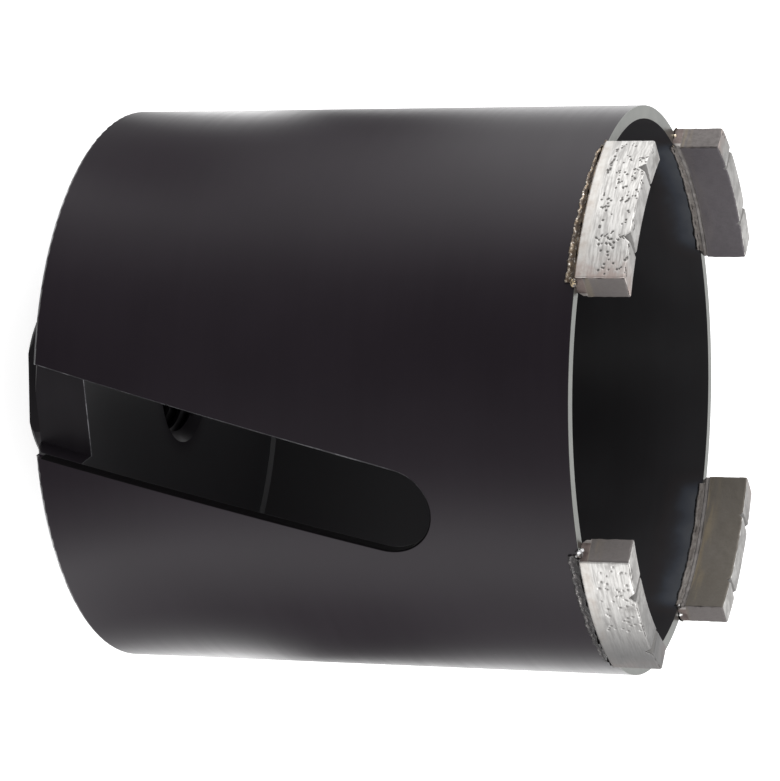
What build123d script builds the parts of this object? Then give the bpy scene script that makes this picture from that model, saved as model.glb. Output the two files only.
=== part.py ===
"""Dry diamond core bit, 82 mm, with an M16 hub.

Six pieces: a steel barrel tube, a turned end plate with its flatted hub, and four
sintered diamond segments welded to the barrel's mouth.

The origin is the centre of the hub's rear face. +Z runs from the hub to the cutting
end, and one clearing slot faces -Y. All sizes are in millimetres.
"""
import os
from math import cos, hypot, radians

from build123d import *

# Barrel: a length of drawn tube
barrel_od = 80.0
barrel_wall = 1.85
barrel_length = 76.1
rear_edge_round = 0.55

# Hub: a round boss with two flats for a spanner, tapped right through
hub_od = 27.2
hub_across_flats = 24.0
hub_rear_chamfer = 0.6
hub_reach = 13.4            # from the barrel's rear edge back to the hub's rear face
hub_flat_angle = -102.4     # the way one flat faces, in degrees from +X
thread_core_d = 14.0        # tapping size of the M16 thread
front_countersink_d = 17.2
rear_countersink_d = 16.6

# End plate: seated in the barrel's rear end and standing a little proud of it
plate_thickness = 7.5
plate_proud = 1.4
plate_bevel_width = 2.4     # measured along the radius
plate_fit = 0.02            # radial gap to the barrel's bore
corner_weld_leg = 0.6

# Clearing slots: end-milled through the wall, slanted, and open at the rear
slot_count = 2
slot_width = 12.0
slot_end_height = 50.2      # from the barrel's rear edge to the centre of the round end
slot_end_offset = 5.3       # from the mill's middle plane sideways to that centre
slot_slant = 14.5           # degrees from the barrel's axis
slot_depth = 5.4            # from the barrel's outside to the flat milled in the plate's rim
slot_edge_break = 0.2

# Segments: diamond grit in sintered metal, pressed with a plain foot for welding
segment_count = 4
segment_length = 24.0
segment_height = 7.0
overhang_out = 1.1          # past the barrel's outside
overhang_in = 0.9           # past the barrel's bore
segment_edge_round = 0.3
first_segment_angle = -145.3
hand_set_errors = (0.8, -1.4, -0.4, -0.7)  # degrees, as each segment was set by hand

# The foot is stepped on the inside, and bevelled where it overhangs the rim
foot_height = 1.2
foot_step = 0.2
foot_bevel_in = 0.6
foot_bevel_out = 0.25

# The cutting face is nicked across in two places
nick_spacing = 12.0
nick_half_width = 0.8
nick_depth_out = 0.9        # at the segment's outer face
nick_depth_in = 0.5         # at its inner face

# Sizes that follow
barrel_r = barrel_od / 2
bore_r = barrel_r - barrel_wall
rim_z = hub_reach + barrel_length
plate_rear_z = hub_reach - plate_proud
plate_front_z = plate_rear_z + plate_thickness
plate_r = bore_r - plate_fit
slot_floor = barrel_r - slot_depth
segment_outer_r = barrel_r + overhang_out
segment_inner_r = bore_r - overhang_in
tool_clear = 2.0            # how far a cutting tool runs past the metal it cuts


def rear_corner_cutter():
    """The ring that rounding the barrel's outer rear corner takes away."""
    radius = min(rear_edge_round, barrel_wall / 3)
    corner = Pos(barrel_r - radius, hub_reach) * Rectangle(radius, radius, align=Align.MIN)
    round_part = Pos(barrel_r - radius, hub_reach + radius) * Circle(radius)
    return revolve(Plane.XZ * (corner - round_part), Axis.Z)


def slot_cutter():
    """The space that the end mill sweeps for the slot that faces -Y."""
    run = (slot_end_height + plate_proud + slot_width) / cos(radians(slot_slant))
    stroke = Pos(0, -run / 2) * Rectangle(slot_width, run) + Circle(slot_width / 2)
    mill_plane = Plane(origin=(0, -slot_floor, 0), x_dir=(1, 0, 0), z_dir=(0, -1, 0))
    end_centre = Pos(slot_end_offset, hub_reach + slot_end_height)
    outline = mill_plane * end_centre * Rot(0, 0, -slot_slant) * stroke
    return extrude(outline, slot_depth + tool_clear)


def slot_cutters():
    one = slot_cutter()
    return [Rot(0, 0, turn * 360 / slot_count) * one for turn in range(slot_count)]


def make_barrel():
    wall = Pos(bore_r, hub_reach) * Rectangle(barrel_wall, barrel_length, align=Align.MIN)
    cutters = slot_cutters()
    tube = revolve(Plane.XZ * wall, Axis.Z) - cutters
    rims = [edge for edge in tube.edges() if is_slot_rim(edge, cutters)]
    return chamfer(rims, slot_edge_break) - rear_corner_cutter()


def is_slot_rim(edge, cutters):
    """True for an edge where a slot breaks out through the barrel's outside."""
    middle = edge.position_at(0.5)
    on_outside = abs(hypot(middle.X, middle.Y) - barrel_r) < 0.001
    return on_outside and any(cutter.distance_to(middle) < 0.001 for cutter in cutters)


def make_end_plate():
    profile = make_face(Polyline(
        (0, plate_rear_z),
        (plate_r - plate_bevel_width, plate_rear_z),
        (plate_r, hub_reach),
        (plate_r, plate_front_z + corner_weld_leg),
        (plate_r - corner_weld_leg, plate_front_z),
        (0, plate_front_z),
        close=True,
    ))
    plate = revolve(Plane.XZ * profile, Axis.Z) - slot_cutters()
    return plate + hub_boss() - thread_hole()


def hub_boss():
    """The round boss behind the plate, chamfered at its end, with a flat on two sides."""
    hub_r = hub_od / 2
    profile = make_face(Polyline(
        (0, 0),
        (hub_r - hub_rear_chamfer, 0),
        (hub_r, hub_rear_chamfer),
        (hub_r, plate_rear_z),
        (0, plate_rear_z),
        close=True,
    ))
    between_flats = Rot(0, 0, hub_flat_angle) * Rectangle(hub_across_flats, hub_od)
    return revolve(Plane.XZ * profile, Axis.Z) & extrude(between_flats, plate_rear_z)


def thread_hole():
    """The tapped hole at its core size, countersunk at both ends to 90 degrees."""
    core_r = thread_core_d / 2
    rear_r = rear_countersink_d / 2
    front_r = front_countersink_d / 2
    section = make_face(Polyline(
        (0, 0),
        (rear_r, 0),
        (core_r, rear_r - core_r),
        (core_r, plate_front_z - (front_r - core_r)),
        (front_r, plate_front_z),
        (0, plate_front_z),
        close=True,
    ))
    return revolve(Plane.XZ * section, Axis.Z)


def curved_bar(outer_r, inner_r, length, height):
    """A bar bent about the barrel's axis, with its ends square to its middle."""
    window = Pos(outer_r, 0) * Rectangle(outer_r, length)
    return extrude((Circle(outer_r) - Circle(inner_r)) & window, height)


def nick_cutter(side):
    """A V across the cutting face, deeper at the segment's outer face."""
    fall = (nick_depth_out - nick_depth_in) / (segment_outer_r - segment_inner_r)
    sections = []
    for x in (segment_inner_r - tool_clear, segment_outer_r + tool_clear):
        depth = nick_depth_out - fall * (segment_outer_r - x)
        half_width = nick_half_width * (depth + tool_clear) / nick_depth_out
        v_shape = Polyline((0, -depth), (half_width, tool_clear), (-half_width, tool_clear),
                           close=True)
        across = Plane(origin=(x, side * nick_spacing / 2, segment_height), x_dir=(0, 1, 0),
                       z_dir=(1, 0, 0))
        sections.append(across * make_face(v_shape))
    return loft(sections)


def bottom_arcs(bar):
    """The two long edges of a curved bar's underside, the inner one first."""
    return bar.edges().filter_by(GeomType.CIRCLE).group_by(Axis.Z)[0].sort_by(SortBy.RADIUS)


def make_segment():
    """One segment on the +X side of the barrel, with its foot at height 0."""
    foot = curved_bar(segment_outer_r, segment_inner_r + foot_step, segment_length, foot_height)
    foot = chamfer(bottom_arcs(foot)[-1], foot_bevel_out)
    foot = chamfer(bottom_arcs(foot)[0], foot_bevel_in)
    head = curved_bar(segment_outer_r, segment_inner_r, segment_length,
                      segment_height - foot_height)
    segment = foot + Pos(0, 0, foot_height) * head
    corners = [edge for edge in segment.edges().filter_by(Axis.Z) if edge.length > foot_height]
    segment = fillet(corners, segment_edge_round)
    for side in (-1, 1):
        segment -= nick_cutter(side)
    return segment


def place_segments():
    one = make_segment()
    placed = {}
    for number in range(segment_count):
        lattice_angle = first_segment_angle + number * 360 / segment_count
        error = hand_set_errors[number % len(hand_set_errors)]
        turned = Pos(0, 0, rim_z) * Rot(0, 0, lattice_angle + error) * one
        placed[f"segment_{number + 1}"] = turned
    return placed


nodes = {"barrel": make_barrel(), "end_plate": make_end_plate()}
nodes.update(place_segments())

os.makedirs("parts", exist_ok=True)
for name, solid in nodes.items():
    export_step(solid, f"parts/{name}.step")
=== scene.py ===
import bmesh
import bpy
import math
import random
from mathutils import Matrix, Quaternion, Vector, kdtree, noise


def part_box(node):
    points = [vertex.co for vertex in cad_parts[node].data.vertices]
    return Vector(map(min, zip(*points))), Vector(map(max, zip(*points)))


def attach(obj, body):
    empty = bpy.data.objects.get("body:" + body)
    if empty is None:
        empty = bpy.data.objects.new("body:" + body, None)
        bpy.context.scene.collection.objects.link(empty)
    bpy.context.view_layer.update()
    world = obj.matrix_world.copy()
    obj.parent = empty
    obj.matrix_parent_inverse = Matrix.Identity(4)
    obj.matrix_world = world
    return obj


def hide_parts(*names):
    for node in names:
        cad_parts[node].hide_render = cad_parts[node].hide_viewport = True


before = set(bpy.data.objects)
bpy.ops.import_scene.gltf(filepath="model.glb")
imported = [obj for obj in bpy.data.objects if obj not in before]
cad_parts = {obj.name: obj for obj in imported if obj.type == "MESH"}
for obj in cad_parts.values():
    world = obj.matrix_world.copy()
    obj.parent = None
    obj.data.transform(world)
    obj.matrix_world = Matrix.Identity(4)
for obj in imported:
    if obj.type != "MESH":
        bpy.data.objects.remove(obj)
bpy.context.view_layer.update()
mm = 0.001


# ---- Barrel ----------------------------------------------------------------------------
# A short length of drawn steel tube, stoved in black satin enamel inside and out. Its mouth
# was faced after painting, so the rim is bare. The slots' edges have rubbed through, and
# welding has tinted the wall beside each segment.
rim_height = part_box("barrel")[1].z
rear_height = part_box("barrel")[0].z
barrel_radius = 40 * mm
bore_radius = 38.15 * mm
wall_middle = 39 * mm
slot_edge_break = 0.2 * mm
hair = 0.02 * mm            # the least distance that tells one surface from the next
segment_angles = [math.radians(angle) for angle in (-144.5, -56.7, 34.3, 124.0)]

enamel_black = (0.0074, 0.0040, 0.0076, 1)
enamel_haze = (0.0105, 0.0064, 0.0108, 1)
# Inside, the enamel is painted lighter than outside, and lighter still deep in the bore: painted
# fill light for the shade in the tube.
bore_black = (0.022, 0.021, 0.0225, 1)
bore_haze = (0.030, 0.029, 0.031, 1)
deep_bore_fill_light = (0.07, 0.068, 0.072)
milled_black = (0.010, 0.009, 0.010)
rubbed_grey = (0.18, 0.18, 0.19)
rubbed_bright = (0.45, 0.45, 0.46)
steel_dark = (0.14, 0.15, 0.14)
steel_light = (0.25, 0.255, 0.235)
heat_colours = (
    (0.0, (0.02, 0.018, 0.02)),
    (0.25, (0.034, 0.027, 0.027)),
    (0.5, (0.035, 0.034, 0.038)),
    (0.75, (0.05, 0.056, 0.07)),
    (1.0, (0.075, 0.08, 0.09)),
)


def add_node(tree, kind, sockets=None, **settings):
    """One shader node, with its settings, its plain values and its links."""
    made = tree.nodes.new(kind)
    for name, value in settings.items():
        setattr(made, name, value)
    for name, value in (sockets or {}).items():
        if isinstance(value, bpy.types.NodeSocket):
            tree.links.new(value, made.inputs[name])
        else:
            made.inputs[name].default_value = value
    return made


def calculate(tree, operation, *values, clamp=False):
    """A Math node's result for the values, each a number or a socket."""
    sockets = dict(enumerate(values))
    made = add_node(tree, "ShaderNodeMath", sockets, operation=operation, use_clamp=clamp)
    return made.outputs[0]


def fade(tree, value, start, end, low=0.0, high=1.0):
    """A smooth step of a value, from low at start to high at end."""
    sockets = {"Value": value, "From Min": start, "From Max": end, "To Min": low, "To Max": high}
    made = add_node(tree, "ShaderNodeMapRange", sockets, interpolation_type="SMOOTHSTEP")
    return made.outputs[0]


def both(tree, *masks):
    """The product of some masks."""
    product = masks[0]
    for mask in masks[1:]:
        product = calculate(tree, "MULTIPLY", product, mask)
    return product


def blend_colour(tree, factor, first, second):
    """A colour between the first and the second. A Mix node has its colours at 6 and 7."""
    first, second = ((*c, 1) if isinstance(c, tuple) else c for c in (first, second))
    sockets = {0: factor, 6: first, 7: second}
    return add_node(tree, "ShaderNodeMix", sockets, data_type="RGBA").outputs[2]


def colour_steps(tree, value, steps):
    """A colour that runs through the steps, each a value and its colour."""
    ramp = add_node(tree, "ShaderNodeValToRGB", {"Fac": value})
    stops = ramp.color_ramp.elements
    for index, (place, colour) in enumerate(steps):
        stop = stops[index] if index < 2 else stops.new(place)
        stop.position = place
        stop.color = (*colour, 1)
    return ramp.outputs["Color"]


def own_axes(tree):
    """The X, Y and Z of a point in the part's own frame, and its distance from the axis."""
    place = add_node(tree, "ShaderNodeTexCoord").outputs["Object"]
    x, y, z = add_node(tree, "ShaderNodeSeparateXYZ", {0: place}).outputs
    square = calculate(tree, "MULTIPLY_ADD", x, x, calculate(tree, "MULTIPLY", y, y))
    return x, y, z, calculate(tree, "SQRT", square)


def new_group(name, inputs, outputs):
    """A shader node group with its named sockets, and what comes in at its inputs."""
    group = bpy.data.node_groups.new(name, "ShaderNodeTree")
    for label, (kind, value) in inputs.items():
        socket = group.interface.new_socket(label, in_out="INPUT", socket_type=kind)
        socket.default_value = value
    for label, kind in outputs.items():
        group.interface.new_socket(label, in_out="OUTPUT", socket_type=kind)
    return group, add_node(group, "NodeGroupInput").outputs


def place_group(tree, group, **inputs):
    """Places a group, with its inputs given by name, and _ for each space in a name."""
    sockets = {name.replace("_", " "): value for name, value in inputs.items()}
    return add_node(tree, "ShaderNodeGroup", sockets, node_tree=group).outputs


# Grain: noise in the part's own frame. A stretch of less than one draws it out on that axis.
grain_group, given = new_group(
    "grain",
    {"Scale": ("NodeSocketFloat", 100.0), "Detail": ("NodeSocketFloat", 3.0),
     "Roughness": ("NodeSocketFloat", 0.5), "Stretch": ("NodeSocketVector", (1, 1, 1))},
    {"Value": "NodeSocketFloat"},
)
place = add_node(grain_group, "ShaderNodeTexCoord").outputs["Object"]
drawn = add_node(grain_group, "ShaderNodeMapping", {"Vector": place, "Scale": given["Stretch"]})
pattern = add_node(grain_group, "ShaderNodeTexNoise", {
    "Vector": drawn.outputs[0], "Scale": given["Scale"], "Detail": given["Detail"],
    "Roughness": given["Roughness"]})
add_node(grain_group, "NodeGroupOutput", {"Value": pattern.outputs["Fac"]})

# Weld heat: how hot a point beside the mouth became, and the oxide colour that it took.
# The segments stand a quarter turn apart, so one cosine of four times the angle finds them.
heat_group, given = new_group(
    "weld_heat",
    {"Depth": ("NodeSocketFloat", 5 * mm), "Waver": ("NodeSocketFloat", 0.5)},
    {"Heat": "NodeSocketFloat", "Colour": "NodeSocketColor"},
)
x, y, z, _ = own_axes(heat_group)
segments_round = len(segment_angles)
start_angle = -segments_round * segment_angles[2]
around = calculate(heat_group, "ARCTAN2", y, x)
around = calculate(heat_group, "MULTIPLY_ADD", around, segments_round, start_angle)
beside_segment = fade(heat_group, calculate(heat_group, "COSINE", around), 0.0, 0.6)
away = calculate(heat_group, "ABSOLUTE", calculate(heat_group, "SUBTRACT", rim_height, z))
waver = place_group(heat_group, grain_group, Scale=260.0, Detail=4.0)["Value"]
waver = calculate(heat_group, "SUBTRACT", waver, 0.5)
waver = calculate(heat_group, "MULTIPLY", waver, given["Waver"])
share = calculate(heat_group, "DIVIDE", away, given["Depth"])
near = calculate(heat_group, "SUBTRACT", 1.0, share)
near = calculate(heat_group, "ADD", near, waver)
heat = both(heat_group, fade(heat_group, near, 0.0, 1.0), beside_segment)
tint = colour_steps(heat_group, heat, heat_colours)
add_node(heat_group, "NodeGroupOutput", {"Heat": heat, "Colour": tint})

# Enamel: a mottled black with faint drawing lines and a few specks of dust under the coat.
enamel_group, given = new_group(
    "enamel",
    {"Dark": ("NodeSocketColor", (0, 0, 0, 1)), "Light": ("NodeSocketColor", (0, 0, 0, 1)),
     "Cloud Scale": ("NodeSocketFloat", 60.0), "Line Scale": ("NodeSocketFloat", 900.0)},
    {"Colour": "NodeSocketColor", "Height": "NodeSocketFloat", "Lines": "NodeSocketFloat"},
)
cloud = place_group(enamel_group, grain_group, Scale=given["Cloud Scale"], Detail=4.0)["Value"]
lines = place_group(enamel_group, grain_group, Scale=given["Line Scale"], Detail=4.0,
                    Roughness=0.65, Stretch=(0.03, 0.03, 1.0))["Value"]
speckle = place_group(enamel_group, grain_group, Scale=3500.0, Detail=2.0)["Value"]
place = add_node(enamel_group, "ShaderNodeTexCoord").outputs["Object"]
cell = add_node(enamel_group, "ShaderNodeTexVoronoi", {"Vector": place, "Scale": 190.0}).outputs
chance = add_node(enamel_group, "ShaderNodeSeparateColor", {0: cell["Color"]}).outputs[0]
speck = both(enamel_group, fade(enamel_group, cell["Distance"], 0.055, 0.0),
             calculate(enamel_group, "GREATER_THAN", chance, 0.72))
mottle = calculate(enamel_group, "MULTIPLY", cloud, 0.8)
mottle = calculate(enamel_group, "MULTIPLY_ADD", lines, 0.2, mottle)
mottle = fade(enamel_group, mottle, 0.3, 0.7)
colour = blend_colour(enamel_group, mottle, given["Dark"], given["Light"])
height = calculate(enamel_group, "MULTIPLY_ADD", lines, 0.07, speck)
height = calculate(enamel_group, "MULTIPLY_ADD", speckle, 0.05, height)
add_node(enamel_group, "NodeGroupOutput", {"Colour": colour, "Height": height, "Lines": lines})


def new_material(name):
    """A material with its Principled shader, and the tree it stands in."""
    material = bpy.data.materials.new(name)
    material.use_nodes = True
    return material, material.node_tree, material.node_tree.nodes["Principled BSDF"]


def set_shader(tree, shader, **inputs):
    """Fills the Principled shader's sockets, given by name with _ for each space."""
    for name, value in inputs.items():
        socket = shader.inputs[name.replace("_", " ")]
        if isinstance(value, bpy.types.NodeSocket):
            tree.links.new(value, socket)
        else:
            socket.default_value = value


def add_bump(tree, height, strength, distance):
    """A normal that leans as the height says, for a finish too fine to model."""
    sockets = {"Height": height, "Strength": strength, "Distance": distance}
    return add_node(tree, "ShaderNodeBump", sockets).outputs[0]


barrel_enamel, tree, shader = new_material("barrel_enamel")
_, y, z, radius = own_axes(tree)
below_rim = calculate(tree, "SUBTRACT", rim_height, z)
above_rear = calculate(tree, "SUBTRACT", z, rear_height)
inside = fade(tree, radius, wall_middle, wall_middle - 0.3 * mm)
# Deeper in the bore the colour turns lighter: painted fill light.
painted_fill_light = fade(tree, below_rim, 22 * mm, 50 * mm)
skin = place_group(tree, enamel_group, Dark=enamel_black, Light=enamel_haze,
                   Cloud_Scale=45.0, Line_Scale=900.0)
bore = place_group(tree, enamel_group, Dark=bore_black, Light=bore_haze,
                   Cloud_Scale=70.0, Line_Scale=500.0)
heat = place_group(tree, heat_group, Depth=8 * mm, Waver=0.5)
rub = place_group(tree, grain_group, Scale=420.0, Detail=4.0, Roughness=0.7)["Value"]
steel_cloud = place_group(tree, grain_group, Scale=300.0, Detail=4.0)["Value"]

# The slots' broken edges rub through where they face the way the bit turns, and the rounded
# rear corner rubs through all round. The milled faces of the slots are blacker than the rest.
under_coat = fade(tree, radius, barrel_radius - hair, barrel_radius - 3 * hair)
off_rear_round = fade(tree, above_rear, 0.7 * mm, 0.9 * mm)
break_end = barrel_radius - slot_edge_break
on_break = both(tree, under_coat, fade(tree, radius, break_end - hair, break_end), off_rear_round)
normal = add_node(tree, "ShaderNodeTexCoord").outputs["Normal"]
normal_x = add_node(tree, "ShaderNodeSeparateXYZ", {0: normal}).outputs["X"]
turns_to_x = calculate(tree, "MULTIPLY", calculate(tree, "SIGN", y), -1.0)
faces_turn = both(tree, normal_x, turns_to_x)
worn = both(tree, on_break, fade(tree, faces_turn, 0.2, 0.5),
            fade(tree, rub, 0.42, 0.62, 0.3, 1.0))
rear_rub = both(tree, fade(tree, above_rear, 0.45 * mm, 0.25 * mm),
                fade(tree, radius, barrel_radius - 0.65 * mm, barrel_radius - 0.5 * mm),
                fade(tree, rub, 0.36, 0.56, 0.15, 1.0))
cut_face = both(tree, under_coat, fade(tree, radius, bore_radius + hair, bore_radius + 4 * hair),
                fade(tree, below_rim, 0.1 * mm, 0.3 * mm), off_rear_round,
                calculate(tree, "SUBTRACT", 1.0, worn))
bare = fade(tree, below_rim, 3 * hair, hair)
bore_colour = blend_colour(tree, painted_fill_light, bore["Colour"], deep_bore_fill_light)
colour = blend_colour(tree, inside, skin["Colour"], bore_colour)
colour = blend_colour(tree, both(tree, heat["Heat"], inside), colour, heat["Colour"])
colour = blend_colour(tree, cut_face, colour, milled_black)
colour = blend_colour(tree, worn, colour, rubbed_grey)
colour = blend_colour(tree, rear_rub, colour, rubbed_bright)
steel = blend_colour(tree, steel_cloud, steel_dark, steel_light)
satin = fade(tree, skin["Lines"], 0.2, 0.8, 0.28, 0.32)
set_shader(
    tree, shader,
    Base_Color=blend_colour(tree, bare, colour, steel),
    Metallic=calculate(tree, "ADD", calculate(tree, "MAXIMUM", bare, worn),
                       calculate(tree, "MAXIMUM", cut_face, rear_rub), clamp=True),
    Roughness=calculate(tree, "MULTIPLY_ADD", cut_face, 0.55, satin),
    Specular_IOR_Level=0.25,
    Normal=add_bump(tree, skin["Height"], 0.35, 0.03 * mm),
)
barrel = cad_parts["barrel"]
barrel.data.materials.clear()
barrel.data.materials.append(barrel_enamel)


# ---- End plate and hub -----------------------------------------------------------------
# One turned piece of steel: a round plate pressed into the barrel's rear end, and a round
# boss with two flats for the spanner, tapped M16 right through. It is stoved with the barrel.
corner_weld_leg = 0.6 * mm
plate_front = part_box("end_plate")[1].z - corner_weld_leg
thread_pitch = 2.0 * mm
thread_crest_radius = 7.0 * mm
thread_root_radius = 8.0 * mm
# One pitch of the thread, as shares of the pitch and of the depth from crest to root.
thread_shape = ((0.0, 0.0), (0.25, 0.0), (0.5625, 1.0), (0.6875, 1.0), (1.0, 0.0))
flank_cuts = 4
thread_steps = 96
thread_end_inset = 0.05 * mm
front_mouth_radius = 8.6 * mm
rear_mouth_radius = 8.3 * mm
plate_sharp_angle = math.radians(35)

hub_black = (0.0090, 0.0070, 0.0096, 1)
hub_haze = (0.0140, 0.0114, 0.0148, 1)
plate_fill_light = (0.034, 0.033, 0.036)
rubbed_edge = (0.34, 0.34, 0.36)


def thread_profile():
    """One pitch of an internal M thread, as points of height and radius."""
    thread_depth = thread_root_radius - thread_crest_radius
    points = []
    for (start, depth), (end, next_depth) in zip(thread_shape, thread_shape[1:]):
        cuts = flank_cuts if depth != next_depth else 1
        for cut in range(cuts):
            share = cut / cuts
            height = (start + (end - start) * share) * thread_pitch
            fall = depth + (next_depth - depth) * share
            points.append((height, thread_crest_radius + thread_depth * fall))
    return points + [(thread_pitch, thread_crest_radius)]


def finish_mesh(bm, name):
    """The bmesh as a mesh of its own."""
    mesh = bpy.data.meshes.new(name)
    bm.to_mesh(mesh)
    bm.free()
    return mesh


def add_piece(bm, name):
    """The bmesh as a piece of the scene, which sits at the origin."""
    piece = bpy.data.objects.new(name, finish_mesh(bm, name))
    bpy.context.scene.collection.objects.link(piece)
    return piece


def threaded_wall():
    """The wall of the hole: an internal thread that runs out into both countersinks."""
    bm = bmesh.new()
    turns_behind = 2
    profile = [bm.verts.new((radius, 0, height - turns_behind * thread_pitch))
               for height, radius in thread_profile()]
    line = [bm.edges.new(pair) for pair in zip(profile, profile[1:])]
    turns = math.ceil(plate_front / thread_pitch) + turns_behind + 1
    bmesh.ops.spin(bm, geom=profile + line, cent=(0, 0, 0), axis=(0, 0, 1),
                   dvec=(0, 0, thread_pitch / thread_steps), angle=math.tau * turns,
                   steps=thread_steps * turns)
    bmesh.ops.remove_doubles(bm, verts=bm.verts, dist=0.005 * mm)
    for height, way in ((thread_end_inset, -1), (plate_front - thread_end_inset, 1)):
        geometry = bm.verts[:] + bm.edges[:] + bm.faces[:]
        bmesh.ops.bisect_plane(bm, geom=geometry, dist=0.001 * mm, plane_co=(0, 0, height),
                               plane_no=(0, 0, way), clear_outer=True)
    for vert in bm.verts:
        radius = math.hypot(vert.co.x, vert.co.y)
        in_front = front_mouth_radius - (plate_front - vert.co.z)
        at_rear = rear_mouth_radius - vert.co.z
        grow = max(radius, in_front, at_rear) / radius
        vert.co.x *= grow
        vert.co.y *= grow
    bmesh.ops.remove_doubles(bm, verts=bm.verts, dist=0.002 * mm)
    return finish_mesh(bm, "threaded_wall")


def in_bore(face):
    """True for a face of the tapped hole or of a countersink."""
    limit = front_mouth_radius + 0.03 * mm
    return all(math.hypot(v.co.x, v.co.y) < limit for v in face.verts)


def threaded_plate():
    """The end plate with its plain bore taken out and the thread put in its place."""
    bm = bmesh.new()
    bm.from_mesh(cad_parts["end_plate"].data)
    bmesh.ops.remove_doubles(bm, verts=bm.verts, dist=0.001 * mm)
    bmesh.ops.delete(bm, geom=[face for face in bm.faces if in_bore(face)], context="FACES")
    bm.from_mesh(threaded_wall())
    for height in (0.0, plate_front):
        rings = [edge for edge in bm.edges if edge.is_boundary
                 and all(abs(v.co.z - height) < 2 * thread_end_inset for v in edge.verts)]
        bmesh.ops.bridge_loops(bm, edges=rings)
    bmesh.ops.recalc_face_normals(bm, faces=bm.faces)
    for face in bm.faces:
        face.smooth = in_bore(face)
    for edge in bm.edges:
        edge.smooth = edge.calc_face_angle(0) < plate_sharp_angle
    return add_piece(bm, "end_plate_tapped")


# The enamel has rubbed off the plate's front edge where the slots cross it. From a little way
# out of the tapped hole, the front face is painted lighter: painted fill light in the barrel's
# shade.
hub_enamel, tree, shader = new_material("hub_enamel")
_, _, z, radius = own_axes(tree)
behind_front = calculate(tree, "SUBTRACT", plate_front, z)
rub = place_group(tree, grain_group, Scale=500.0, Detail=4.0, Roughness=0.7)["Value"]
edge_rub = both(tree, fade(tree, behind_front, 0.18 * mm, 0.12 * mm),
                fade(tree, behind_front, 0.02 * mm, 0.05 * mm),
                fade(tree, radius, 33 * mm, 34 * mm), fade(tree, rub, 0.36, 0.58, 0.15, 1.0))
# Painted fill light on the front face.
painted_fill_light = both(tree, fade(tree, behind_front, 0.03 * mm, 0.01 * mm),
             fade(tree, radius, 8 * mm, 11 * mm))
skin = place_group(tree, enamel_group, Dark=hub_black, Light=hub_haze,
                   Cloud_Scale=60.0, Line_Scale=700.0)
colour = blend_colour(tree, painted_fill_light, skin["Colour"], plate_fill_light)
set_shader(
    tree, shader,
    Base_Color=blend_colour(tree, edge_rub, colour, rubbed_edge),
    Metallic=edge_rub,
    Roughness=fade(tree, skin["Lines"], 0.2, 0.8, 0.3, 0.42),
    Specular_IOR_Level=0.25,
    Normal=add_bump(tree, skin["Height"], 0.4, 0.04 * mm),
)
end_plate = threaded_plate()
end_plate.data.materials.append(hub_enamel)
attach(end_plate, "root")
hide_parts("end_plate")


# ---- Segments --------------------------------------------------------------------------
# Four blocks of diamond grit in sintered metal, each on a plain foot that takes the weld.
# Grinding bared the matrix on the outer and cutting faces, and left pits where grit broke
# out. The other faces keep the dark skin of the mould.
segment_length = 24 * mm
segment_height = 7.0 * mm
segment_outer = 41.1 * mm
segment_inner = 37.25 * mm
foot_height = 1.2 * mm
foot_step = 0.2 * mm
foot_bevel_in = 0.6 * mm
foot_bevel_out = 0.25 * mm
corner_round = 0.3 * mm
nick_place = 6.0 * mm
nick_half_width = 0.8 * mm
nick_depth_outer = 0.9 * mm
nick_depth_inner = 0.5 * mm
length_rows, height_rows, thickness_rows = 240, 70, 30
on_face = 0.499             # a point of the unit block past this lies on one of its faces
segment_sharp_angle = math.radians(40)

# The grinding wheel leaves scratches and wider ridges, both far longer than they are high.
# Each has its bends in a metre along the segment and across it, and its depth in mm.
scratches = (150, 4500, 0.012)
ridges = (60, 1700, 0.008)
grinding_depth = 0.02 * mm
skin_relief = 0.02 * mm

# Grit broke out in clusters of up to so many pits, with their size and depth in mm, the lip
# behind each, how dark the painted shade in it is, and how far along the segment they reach.
rear_pits = {"count": 70, "cluster": 2, "size": (0.11, 0.26), "deep": 0.10, "lip": 0.2,
             "dark": 0.8, "end": 0.48}
pit_kinds = (
    {"count": 92, "cluster": 3, "size": (0.12, 0.25), "deep": 0.07, "lip": 0.0,
     "dark": 1.0, "end": 0.48},
    {"count": 60, "cluster": 1, "size": (0.20, 0.34), "deep": 0.10, "lip": 0.3,
     "dark": 0.5, "end": 0.04},
    rear_pits,
    rear_pits,
)
pit_start = -0.48
pit_rows = (-0.22, 0.62)    # from low on the outer face to a little way onto the cutting face
cluster_spread = (0.35, 0.2)
lip_height = 0.04

# Where each segment's ground faces turn dull or burnt: from one place to another along it,
# and how much at most. On the second segment the dulling is painted shade, which darkens
# its face towards one end. Then how brown the skin of the mould has tarnished on each.
matt_wear_and_shade_kinds = ((-0.5, 0.0, 0.0), (-0.36, 0.38, 1.0), (-0.5, 0.5, 0.4), (-0.5, 0.5, 0.4))
burnt_kinds = ((0.32, 0.5, 0.8), (0.3, 0.5, 0.2), (0.3, 0.5, 0.5), (0.3, 0.5, 0.5))
tarnish_kinds = (0.5, 0.6, 1.0, 0.1)
end_tarnish = 0.5


def gridded_block():
    """A unit block whose faces are cut into a fine grid, one direction at a time."""
    bm = bmesh.new()
    bmesh.ops.create_cube(bm, size=1)
    for axis, rows in ((1, length_rows), (2, height_rows), (0, thickness_rows)):
        along = [edge for edge in bm.edges
                 if abs((edge.verts[0].co - edge.verts[1].co).normalized()[axis]) > 0.99]
        bmesh.ops.subdivide_edges(bm, edges=along, cuts=rows - 1, use_grid_fill=True)
    return bm


def nick_drop(along, outward):
    """How far a nick takes the cutting face down at a place on it."""
    depth = nick_depth_inner + (nick_depth_outer - nick_depth_inner) * outward
    off_nick = abs(abs(along) - nick_place)
    nick_width = nick_half_width * depth / nick_depth_outer
    return max(0.0, depth * (1 - off_nick / nick_width))


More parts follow.
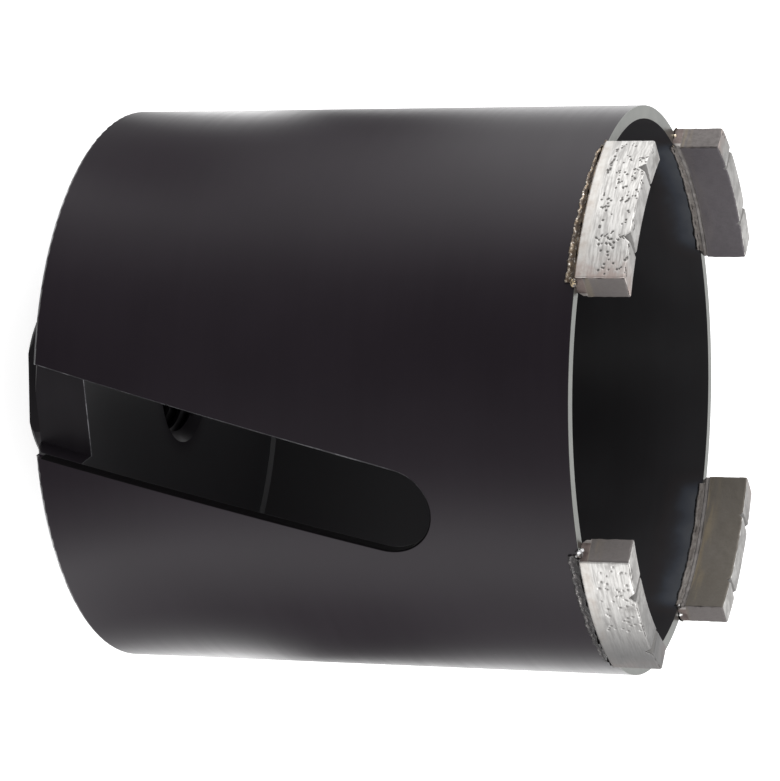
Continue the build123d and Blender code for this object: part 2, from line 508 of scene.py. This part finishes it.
def round_corners(place, inner, outer, seed):
    """Rounds the block's corners, and chips them here and there. The foot stays square."""
    half = segment_length / 2
    low = Vector((inner + corner_round, -half + corner_round, -1))
    high = Vector((outer - corner_round, half - corner_round, segment_height - corner_round))
    core = Vector([min(max(p, a), b) for p, a, b in zip(place, low, high)])
    offset = place - core
    if offset.length == 0:
        return place
    chip = noise.noise(Vector((place.y, place.x, place.z)) * 900 + seed)
    corner = min(1.0, (offset.length / corner_round - 1) * 2.4)
    chipped = 0.9 * corner * max(0.0, chip + 0.25)
    return core + offset.normalized() * corner_round * (1 - chipped)


def block_point(unit, seed):
    """A point of the unit block in the finished segment, as radius, along and height, and
    how far a nick took it down."""
    outward, height = unit.x + 0.5, (unit.z + 0.5) * segment_height
    in_foot = height < foot_height - 0.01 * mm
    inner = segment_inner + (foot_step if in_foot else 0.0) + max(0.0, foot_bevel_in - height)
    outer = segment_outer - max(0.0, foot_bevel_out - height)
    place = Vector((inner + outward * (outer - inner), unit.y * segment_length, height))
    place = round_corners(place, inner, outer, seed)
    drop = nick_drop(place.y, outward)
    if not in_foot:
        place.z -= drop * (place.z - foot_height) / (segment_height - foot_height)
    return place, drop


def bend_to_rim(place):
    """From radius, along and height to the segment that stands on the +X side of the rim."""
    radius, along, height = place
    return Vector((math.sqrt(radius * radius - along * along), along, rim_height + height))


def scatter_pits(dice, kind, points):
    """The depth of the pits, from 0 to 1, and the height of their lips, at each point."""
    finder = kdtree.KDTree(len(points))
    for index, point in enumerate(points):
        finder.insert(point, index)
    finder.balance()
    depths, lips = {}, {}
    for _ in range(kind["count"]):
        centre = Vector((0, dice.uniform(pit_start, kind["end"]) * segment_length,
                         dice.uniform(*pit_rows) * segment_height))
        for _ in range(dice.randint(1, kind["cluster"])):
            size = dice.uniform(*kind["size"]) * mm
            spread = [dice.gauss(0, most) for most in cluster_spread]
            spot = centre + Vector((0, *spread)) * mm
            for point, index, distance in finder.find_range(spot, size * 1.9):
                ragged = 1 + 0.35 * noise.noise(point * 9000)
                reach = distance / (size * ragged)
                if reach < 1:
                    depths[index] = max(depths.get(index, 0), 1 - reach * reach)
                elif point.y > spot.y:
                    rise = max(0.0, 1 - abs(reach - 1.3) / 0.5) * kind["lip"]
                    lips[index] = max(lips.get(index, 0), rise)
    return depths, lips


def pit_ground_faces(bm, dice, kind):
    """The pits' depths and the lips' heights, by vertex, over the two ground faces. They lie
    unrolled into one for this, so that a pit may run over the edge between them."""
    ground = [v for v in bm.verts if v.co.x > on_face or v.co.z > on_face]
    unrolled = []
    for vert in ground:
        onto_tip = (0.5 - vert.co.x) * (segment_outer - segment_inner)
        up = vert.co.z * segment_height + onto_tip
        unrolled.append(Vector((0, vert.co.y * segment_length, up)))
    return [{ground[index]: value for index, value in found.items()}
            for found in scatter_pits(dice, kind, unrolled)]


def grinding_marks(place, seed):
    """How high the grinding wheel's scratches and ridges leave a point."""
    height = 0.0
    for bends_along, bends_across, depth in (scratches, ridges):
        spot = Vector((place.y * bends_along, place.z * bends_across, place.x * bends_across))
        height += noise.noise(spot + seed) * depth
    return height * mm


def change_along(place, kind):
    """How far something has changed at a place along the segment, from -0.5 to 0.5."""
    start, end, most = kind
    share = min(1.0, max(0.0, (place - start) / (end - start)))
    return most * share * share * (3 - 2 * share)


def part_ground_from_skin(bm):
    """Ground faces take the first material and mould faces the second. The faces' normals
    are still those of the plain block, so that no pit or nick turns one into the other."""
    for face in bm.faces:
        middle = face.calc_center_median()
        outwards = face.normal.dot(Vector((middle.x, middle.y, 0)).normalized())
        far_out = math.hypot(middle.x, middle.y) > segment_outer - 0.35 * mm
        high_up = middle.z > rim_height + segment_height / 2
        ground = (far_out and outwards > 0.5) or (high_up and face.normal.z > 0.4)
        face.material_index = 0 if ground else 1


def make_segment(number, angle):
    """One segment, turned to its place on the rim. Its vertices carry the pits, the nicks, the wear
    and a painted shade for its two materials to read."""
    dice = random.Random(71 + number)
    seed = Vector((dice.random(), dice.random(), dice.random())) * 50
    kind = pit_kinds[number]
    bm = gridded_block()
    names = ("pit", "nick", "matt_wear_and_shade", "burnt", "tarnish")
    layers = {name: bm.verts.layers.float.new(name) for name in names}
    pits, lips = pit_ground_faces(bm, dice, kind)
    for vert in bm.verts:
        unit = vert.co.copy()
        place, drop = block_point(unit, seed)
        depth = pits.get(vert, 0.0)
        lip = lips.get(vert, 0.0) if depth == 0 else 0.0
        vert[layers["pit"]] = depth * kind["dark"]
        vert[layers["nick"]] = min(1.0, drop / (0.12 * mm)) if unit.z > on_face else 0.0
        vert[layers["matt_wear_and_shade"]] = change_along(unit.y, matt_wear_and_shade_kinds[number])
        vert[layers["burnt"]] = change_along(unit.y, burnt_kinds[number])
        on_end = abs(unit.y) >= on_face
        vert[layers["tarnish"]] = end_tarnish if on_end else tarnish_kinds[number]
        sink = (depth * kind["deep"] - lip * lip_height) * mm
        lowered = min(0.0, grinding_marks(place, seed) - grinding_depth - sink)
        if unit.x > on_face:
            place.x += lowered
        elif unit.z > on_face:
            place.z += lowered
        else:
            place.x += skin_relief * noise.noise(place * 700 + seed)
        vert.co = bend_to_rim(place)
    for face in bm.faces:
        face.smooth = True
    for edge in bm.edges:
        edge.smooth = edge.calc_face_angle(0) < segment_sharp_angle
    part_ground_from_skin(bm)
    bmesh.ops.rotate(bm, verts=bm.verts, cent=(0, 0, 0), matrix=Matrix.Rotation(angle, 3, "Z"))
    return add_piece(bm, f"segment_{number + 1}_sintered")


def read_layer(tree, name):
    """The values of a layer that the mesh carries at its vertices."""
    return add_node(tree, "ShaderNodeAttribute", attribute_name=name).outputs["Fac"]


matrix_dark, matrix_light = (0.36, 0.35, 0.34), (0.54, 0.53, 0.515)
matrix_patch = (0.26, 0.25, 0.24)
foot_light, foot_rusty = (0.50, 0.485, 0.465), (0.42, 0.385, 0.355)
matt_wear_and_shade_grey = (0.13, 0.128, 0.128)
burnt_pink = (0.36, 0.285, 0.26)
nick_painted_shade = (0.17, 0.165, 0.16)
pit_painted_shade = (0.11, 0.105, 0.10)

ground_matrix, tree, shader = new_material("ground_matrix")
_, _, z, _ = own_axes(tree)
above_rim = calculate(tree, "SUBTRACT", z, rim_height)
streaks = place_group(tree, grain_group, Scale=3200.0, Roughness=0.65,
                      Stretch=(0.11, 0.11, 1.0))["Value"]
fine = place_group(tree, grain_group, Scale=4200.0, Detail=2.0, Stretch=(0.2, 0.2, 1.0))["Value"]
patches = place_group(tree, grain_group, Scale=260.0, Detail=5.0, Roughness=0.6)["Value"]
rust = place_group(tree, grain_group, Scale=500.0, Detail=4.0, Roughness=0.65)["Value"]
diamond_bearing = fade(tree, above_rim, 1.0 * mm, 1.9 * mm)
patchy = both(tree, fade(tree, patches, 0.55, 0.75), diamond_bearing)
burnt = both(tree, read_layer(tree, "burnt"), fade(tree, rust, 0.3, 0.6))
bright = blend_colour(tree, fade(tree, streaks, 0.36, 0.62), matrix_dark, matrix_light)
bright = blend_colour(tree, patchy, bright, matrix_patch)
plain_foot = blend_colour(tree, fade(tree, rust, 0.4, 0.7), foot_light, foot_rusty)
bright = blend_colour(tree, diamond_bearing, plain_foot, bright)
# Duller grey along the segment; on the second segment this is painted shade.
matt_wear_and_shade = calculate(tree, "MULTIPLY", read_layer(tree, "matt_wear_and_shade"), 0.9)
bright = blend_colour(tree, matt_wear_and_shade, bright, matt_wear_and_shade_grey)
bright = blend_colour(tree, burnt, bright, burnt_pink)
# The nicks are painted a darker grey: painted shade on their flanks.
bright = blend_colour(tree, fade(tree, read_layer(tree, "nick"), 0.5, 1.0), bright, nick_painted_shade)
# The pits are painted darker: painted shade in their hollows.
in_pit = fade(tree, read_layer(tree, "pit"), 0.1, 0.6)
set_shader(
    tree, shader,
    Base_Color=blend_colour(tree, in_pit, bright, pit_painted_shade),
    Metallic=0.7,
    Roughness=fade(tree, streaks, 0.3, 0.7, 0.56, 0.46),
    Normal=add_bump(tree, calculate(tree, "MULTIPLY_ADD", fine, 0.4, streaks), 0.3, 0.03 * mm),
)

skin_violet, skin_pale_violet = (0.088, 0.080, 0.094), (0.125, 0.113, 0.122)
skin_brown, skin_pale_brown = (0.120, 0.106, 0.086), (0.155, 0.140, 0.125)
baked_gold = (0.205, 0.170, 0.120)
end_foot_dark, end_foot_light = (0.075, 0.055, 0.050), (0.16, 0.125, 0.115)
inner_foot_dark, inner_foot_light = (0.22, 0.20, 0.19), (0.36, 0.335, 0.32)

mould_skin, tree, shader = new_material("mould_skin")
_, _, z, radius = own_axes(tree)
above_rim = calculate(tree, "SUBTRACT", z, rim_height)
in_foot = fade(tree, above_rim, 1.35 * mm, 1.15 * mm)
inwards = fade(tree, radius, segment_inner + 1.0 * mm, segment_inner + 0.8 * mm)
tarnish = read_layer(tree, "tarnish")
speckle = place_group(tree, grain_group, Scale=1800.0, Roughness=0.7)["Value"]
patches = place_group(tree, grain_group, Scale=160.0, Detail=4.0)["Value"]
lumps = place_group(tree, grain_group, Scale=700.0, Detail=3.0)["Value"]
flow = place_group(tree, grain_group, Scale=1100.0, Detail=3.0, Stretch=(0.12, 0.12, 1.0))["Value"]
heat = place_group(tree, heat_group, Depth=2.2 * mm, Waver=0.6)
violet = blend_colour(tree, patches, skin_violet, skin_pale_violet)
brown = blend_colour(tree, patches, skin_brown, skin_pale_brown)
baked = both(tree, tarnish, fade(tree, above_rim, 3.6 * mm, 1.4 * mm), fade(tree, flow, 0.42, 0.62))
skin = blend_colour(tree, tarnish, violet, brown)
skin = blend_colour(tree, baked, skin, baked_gold)
lumpy = fade(tree, lumps, 0.35, 0.65)
end_foot = blend_colour(tree, lumpy, end_foot_dark, end_foot_light)
inner_foot = blend_colour(tree, lumpy, inner_foot_dark, inner_foot_light)
skin = blend_colour(tree, in_foot, skin, blend_colour(tree, inwards, end_foot, inner_foot))
faint_heat = calculate(tree, "MULTIPLY", heat["Heat"], 0.25)
bumps = calculate(tree, "MULTIPLY_ADD", both(tree, lumps, in_foot), 2.0, speckle)
set_shader(
    tree, shader,
    Base_Color=blend_colour(tree, faint_heat, skin, heat["Colour"]),
    Metallic=0.5,
    Roughness=fade(tree, speckle, 0.3, 0.7, 0.5, 0.7),
    Normal=add_bump(tree, bumps, 0.3, 0.06 * mm),
)
for number, angle in enumerate(segment_angles):
    segment = make_segment(number, angle)
    segment.data.materials.append(ground_matrix)
    segment.data.materials.append(mould_skin)
    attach(segment, "root")
    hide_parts(f"segment_{number + 1}")


# ---- Welds -----------------------------------------------------------------------------
# A lumpy bead of weld metal runs along each side of a segment's foot, burnt brown and gold
# where it cooled, and ends in a round blob at the segment's corner.
bead_reach = math.radians(17.2)
bead_steps = 260
# The beads' sections, as radius and height over the rim in mm.
outer_bead = ((39.9, -1.42), (40.12, -1.45), (40.3, -1.33), (40.3, -1.18), (40.17, -1.02),
              (40.28, -0.8), (40.48, -0.5), (40.7, -0.22), (40.94, 0.0), (41.04, 0.16),
              (40.9, 0.32), (39.9, 0.32))
inner_bead = ((38.35, -0.72), (38.1, -0.7), (37.93, -0.5), (37.9, -0.3), (37.84, 0.0),
              (37.66, 0.3), (37.52, 0.6), (37.6, 0.85), (38.35, 0.85))
# For each segment: how wide the outer bead is at its two ends, how gold it burnt, and its
# blobs, each as the end it sits at and its radius, height and size in mm.
crust_widths = ((0.55, 1.0), (1.05, 0.85), (0.8, 0.8), (0.8, 0.8))
burnt_gold = (1.0, 0.0, 0.1, 0.7)
blobs = (
    ((-1, 40.3, 0.1, 0.3), (1, 40.35, -0.05, 0.55), (1, 38.0, 0.2, 0.3)),
    ((-1, 40.15, 0.0, 0.62), (-1, 39.3, 0.25, 0.42), (1, 40.3, 0.0, 0.35)),
    ((-1, 38.2, 0.1, 0.45), (-1, 39.3, 0.2, 0.45), (1, 40.2, 0.0, 0.35)),
    ((1, 38.3, 0.15, 0.4), (1, 39.5, 0.1, 0.36), (-1, 40.2, 0.0, 0.35)),
)
outer_ripple = 0.08 * mm
inner_ripple = -0.06 * mm
edge_wander = 0.3 * mm


def add_bead(bm, section):
    """A bar of the section, bent about the axis and closed at both ends."""
    ring = [bm.verts.new((radius * mm, 0, rim_height + height * mm)) for radius, height in section]
    edges = [bm.edges.new(pair) for pair in zip(ring, ring[1:] + ring[:1])]
    bmesh.ops.rotate(bm, verts=ring, cent=(0, 0, 0), matrix=Matrix.Rotation(-bead_reach, 3, "Z"))
    spun = bmesh.ops.spin(bm, geom=ring + edges, cent=(0, 0, 0), axis=(0, 0, 1),
                          angle=2 * bead_reach, steps=bead_steps)
    last = [item for item in spun["geom_last"] if isinstance(item, bmesh.types.BMEdge)]
    bmesh.ops.contextual_create(bm, geom=edges)
    bmesh.ops.contextual_create(bm, geom=last)


def make_lumpy(bm, seed, widths, lip_layer):
    """Ripples the beads outwards from the wall, and wanders and narrows their lower edges."""
    for vert in bm.verts:
        off_axis = Vector((vert.co.x, vert.co.y, 0))
        lump = noise.noise(vert.co * 900 + seed) + 0.6 * noise.noise(vert.co * 2600 + seed)
        edge_wave = noise.noise(off_axis * 800 + seed * 2)
        edge_wave += 0.5 * noise.noise(off_axis * 2600 + seed * 3)
        low = max(0.0, (rim_height - vert.co.z) / mm)
        outside = off_axis.length > wall_middle
        lip_start = 1.05 if outside else 0.35
        vert[lip_layer] = min(1.0, max(0.0, (low - lip_start) / 0.15))
        along = (math.atan2(vert.co.y, vert.co.x) / bead_reach + 1) / 2
        width = widths[0] + (widths[1] - widths[0]) * along
        if outside and low > 0:
            vert.co.z = rim_height - low * width * mm
        ripple = outer_ripple if outside else inner_ripple
        vert.co += off_axis.normalized() * ripple * lump
        vert.co.z += edge_wander * edge_wave * min(1.0, low)


def add_blob(bm, place, size, seed, fresh_layer):
    """A round drop of fresh metal, a little flattened and uneven."""
    for vert in bmesh.ops.create_icosphere(bm, subdivisions=4, radius=size)["verts"]:
        lump = noise.noise(vert.co * 1800 + seed)
        vert.co = Vector((vert.co.x, vert.co.y, vert.co.z * 0.85)) * (1 + 0.3 * lump) + place
        vert[fresh_layer] = 1.0


def make_weld(number, angle):
    """The two beads and the blobs at one segment's foot, as one piece. Its vertices carry
    the beads' lips, what is fresh metal and how gold it burnt."""
    dice = random.Random(31 + number)
    seed = Vector((dice.random(), dice.random(), dice.random())) * 40
    bm = bmesh.new()
    layers = {name: bm.verts.layers.float.new(name) for name in ("lip", "fresh", "gold")}
    add_bead(bm, outer_bead)
    add_bead(bm, inner_bead)
    make_lumpy(bm, seed, crust_widths[number], layers["lip"])
    for way, radius, height, size in blobs[number]:
        at_end = way * (bead_reach + 0.2 * mm / barrel_radius)
        place = Vector((radius * math.cos(at_end), radius * math.sin(at_end), height)) * mm
        place.z += rim_height
        add_blob(bm, place, size * mm, seed, layers["fresh"])
    for vert in bm.verts:
        vert[layers["gold"]] = burnt_gold[number]
    bmesh.ops.rotate(bm, verts=bm.verts, cent=(0, 0, 0), matrix=Matrix.Rotation(angle, 3, "Z"))
    bmesh.ops.recalc_face_normals(bm, faces=bm.faces)
    for face in bm.faces:
        face.smooth = True
    return add_piece(bm, f"weld_{number + 1}")


brown_crust = (
    (0.30, (0.022, 0.016, 0.014)),
    (0.46, (0.060, 0.040, 0.026)),
    (0.56, (0.12, 0.088, 0.060)),
    (0.66, (0.21, 0.17, 0.125)),
    (0.78, (0.45, 0.43, 0.40)),
)
grey_crust = (
    (0.30, (0.012, 0.011, 0.012)),
    (0.50, (0.034, 0.031, 0.032)),
    (0.60, (0.075, 0.070, 0.070)),
    (0.72, (0.20, 0.19, 0.18)),
)
lip_gold = (0.44, 0.39, 0.33)
grey_spark, gold_spark = (0.26, 0.25, 0.24), (0.60, 0.57, 0.52)
band_dark, band_light = (0.26, 0.230, 0.212), (0.44, 0.405, 0.38)
bead_gap_shadow = (0.010, 0.010, 0.011)
drop_silver, drop_gold = (0.66, 0.66, 0.67), (0.60, 0.47, 0.30)
drop_soot = (0.09, 0.08, 0.075)

weld_metal, tree, shader = new_material("weld_metal")
_, _, _, radius = own_axes(tree)
on_bore = fade(tree, radius, wall_middle, wall_middle - 0.3 * mm)
lip = read_layer(tree, "lip")
fresh = read_layer(tree, "fresh")
gold = read_layer(tree, "gold")
mottle = place_group(tree, grain_group, Scale=900.0, Detail=4.0, Roughness=0.65)["Value"]
spatter = place_group(tree, grain_group, Scale=3200.0, Detail=3.0, Roughness=0.7)["Value"]
brown = colour_steps(tree, mottle, brown_crust)
grey = colour_steps(tree, mottle, grey_crust)
spark = blend_colour(tree, gold, grey_spark, gold_spark)
gold_lip = both(tree, lip, gold, fade(tree, spatter, 0.44, 0.64))
crust = blend_colour(tree, gold, grey, brown)
crust = blend_colour(tree, gold_lip, crust, lip_gold)
crust = blend_colour(tree, fade(tree, spatter, 0.58, 0.68), crust, spark)
band = blend_colour(tree, fade(tree, mottle, 0.35, 0.65), band_dark, band_light)
# Where the inner bead runs down the bore below the rim it is painted near black: a painted shadow
# along its edge.
band = blend_colour(tree, lip, band, bead_gap_shadow)
crust = blend_colour(tree, on_bore, crust, band)
drop_metal = blend_colour(tree, gold, drop_silver, drop_gold)
drop_metal = blend_colour(tree, fade(tree, mottle, 0.54, 0.44), drop_metal, drop_soot)
clean_metal = fade(tree, calculate(tree, "ADD", mottle, fresh), 0.4, 0.6, 0.35, 0.9)
set_shader(
    tree, shader,
    Base_Color=blend_colour(tree, fresh, crust, drop_metal),
    Metallic=both(tree, clean_metal, fade(tree, on_bore, 0.0, 1.0, 1.0, 0.2)),
    Roughness=fade(tree, spatter, 0.35, 0.65, 0.5, 0.28),
    Normal=add_bump(tree, spatter, 0.5, 0.06 * mm),
)
for number, angle in enumerate(segment_angles):
    weld = make_weld(number, angle)
    weld.data.materials.append(weld_metal)
    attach(weld, "root")


# ---- Studio ----------------------------------------------------------------------------
# A plain pale floor and a white room, with a soft lamp at each side. Reflections see the
# floor as black, grey and white cards that stand round the bit: dark in front of it, and
# bright at both sides, where they draw the long highlights on the enamel.
front_azimuth = math.radians(-107)
camera_off_axis = 462.5 * mm
camera_height = 208.43 * mm
camera_roll = math.radians(90.852)
camera_sensor = 36
camera_lens = 156.0
aim = Vector((0.54 * mm, -0.17 * mm, 51.55 * mm))
softbox_azimuths = {"left_softbox": math.radians(175), "right_softbox": math.radians(-29)}
softbox_off_axis = 0.7
softbox_height = 0.35
softbox_size = (0.5, 0.6)
softbox_energy = 4

# How bright the cards are at each angle from the front, in degrees. Each side has a near, a
# middle and a far row, which run into each other over the two changes of distance.
card_angles = (0, 30, 45, 60, 75, 90, 105, 120, 135, 150, 165)
card_most = 4.0
near_change = (102 * mm, 140 * mm)
far_change = (195 * mm, 265 * mm)
left_cards = (
    (0.20, 0.34, 0.80, 1.25, 0.45, 0.26, 0.24, 1.00, 3.20, 1.90, 1.20),
    (0.30, 0.40, 0.66, 1.18, 1.16, 0.82, 0.36, 0.10, 0.08, 1.50, 2.60),
    (0.22, 0.27, 0.54, 1.38, 2.20, 2.30, 1.85, 0.98, 0.92, 1.90, 1.75),
)
right_cards = (
    (0.30, 0.40, 0.95, 2.10, 1.08, 0.45, 0.60, 1.50, 2.80, 1.80, 1.20),
    (0.42, 0.60, 1.26, 2.36, 1.36, 0.38, 0.10, 0.05, 0.14, 1.75, 2.90),
    (0.38, 0.58, 1.28, 2.08, 1.75, 0.86, 0.53, 0.33, 0.92, 2.00, 1.80),
)
floor_white, floor_black = (0.8, 0.8, 0.8), (0.05, 0.05, 0.05)
floor_shown = 0.8
floor_reach = 4
room_light, room_shown = 0.6, 1.0


def card_glow(tree, turned, radius, rows):
    """How bright one side of the floor is, by the angle from the front and by distance, as
    a share of the most that a card may be."""
    values = []
    for row in rows:
        steps = [(angle / 180, (glow / card_most,) * 3) for angle, glow in zip(card_angles, row)]
        values.append(colour_steps(tree, turned, steps))
    near, middle, far = values
    glow = blend_colour(tree, fade(tree, radius, *near_change), near, middle)
    return blend_colour(tree, fade(tree, radius, *far_change), glow, far)


white_floor, tree, shader = new_material("white_floor")
rays = add_node(tree, "ShaderNodeLightPath").outputs
x, y, _, radius = own_axes(tree)
far_enough = calculate(tree, "MAXIMUM", radius, mm)
frontwards = calculate(tree, "MULTIPLY_ADD", x, math.cos(front_azimuth),
                       calculate(tree, "MULTIPLY", y, math.sin(front_azimuth)))
leftwards = calculate(tree, "MULTIPLY_ADD", x, math.sin(front_azimuth),
                      calculate(tree, "MULTIPLY", y, -math.cos(front_azimuth)))
frontwards = calculate(tree, "DIVIDE", frontwards, far_enough)
leftwards = calculate(tree, "DIVIDE", leftwards, far_enough)
turned = calculate(tree, "DIVIDE", calculate(tree, "ARCCOSINE", frontwards), math.pi)
cards = blend_colour(tree, fade(tree, leftwards, -0.15, 0.15),
                     card_glow(tree, turned, radius, right_cards),
                     card_glow(tree, turned, radius, left_cards))
cards = add_node(tree, "ShaderNodeSeparateColor", {0: cards}).outputs[0]
cards = calculate(tree, "MULTIPLY", cards, card_most)
shown = calculate(tree, "MAXIMUM", rays["Is Camera Ray"], rays["Is Transmission Ray"])
glow = calculate(tree, "MULTIPLY_ADD", shown, floor_shown,
                 both(tree, rays["Is Glossy Ray"], cards))
set_shader(tree, shader, Roughness=0.9, Emission_Color=(1, 1, 1, 1), Emission_Strength=glow,
           Base_Color=blend_colour(tree, rays["Is Glossy Ray"], floor_white, floor_black))
bm = bmesh.new()
bmesh.ops.create_grid(bm, x_segments=1, y_segments=1, size=floor_reach)
floor = add_piece(bm, "floor")
floor.data.materials.append(white_floor)

world = bpy.data.worlds.new("white_room")
world.use_nodes = True
bpy.context.scene.world = world
tree = world.node_tree
rays = add_node(tree, "ShaderNodeLightPath").outputs
seen = calculate(tree, "MAXIMUM", rays["Is Camera Ray"], rays["Is Glossy Ray"])
seen = calculate(tree, "MAXIMUM", seen, rays["Is Transmission Ray"])
background = tree.nodes["Background"]
background.inputs["Color"].default_value = (1, 1, 1, 1)
tree.links.new(fade(tree, seen, 0, 1, room_light, room_shown), background.inputs["Strength"])


def beside(azimuth, distance, height):
    """A place beside the bit, by its direction, its distance from the axis and its height."""
    return Vector((distance * math.cos(azimuth), distance * math.sin(azimuth), height))


def place_facing(thing, place, target, roll=0.0):
    """Puts a camera or a lamp in its place, turned to the target."""
    thing.location = place
    thing.rotation_mode = "QUATERNION"
    towards = (target - place).to_track_quat("-Z", "Y")
    thing.rotation_quaternion = towards @ Quaternion((0, 0, 1), roll)
    bpy.context.scene.collection.objects.link(thing)


for name, azimuth in softbox_azimuths.items():
    lamp = bpy.data.lights.new(name, "AREA")
    lamp.shape = "RECTANGLE"
    lamp.size, lamp.size_y = softbox_size
    lamp.energy = softbox_energy
    softbox = bpy.data.objects.new(name, lamp)
    place_facing(softbox, beside(azimuth, softbox_off_axis, softbox_height), aim)

camera = bpy.data.objects.new("camera", bpy.data.cameras.new("camera"))
camera.data.sensor_width = camera_sensor
camera.data.lens = camera_lens
camera.data.clip_start = 0.01
place_facing(camera, beside(front_azimuth, camera_off_axis, camera_height), aim, camera_roll)
bpy.context.scene.camera = camera
bpy.context.scene.view_settings.view_transform = "Standard"
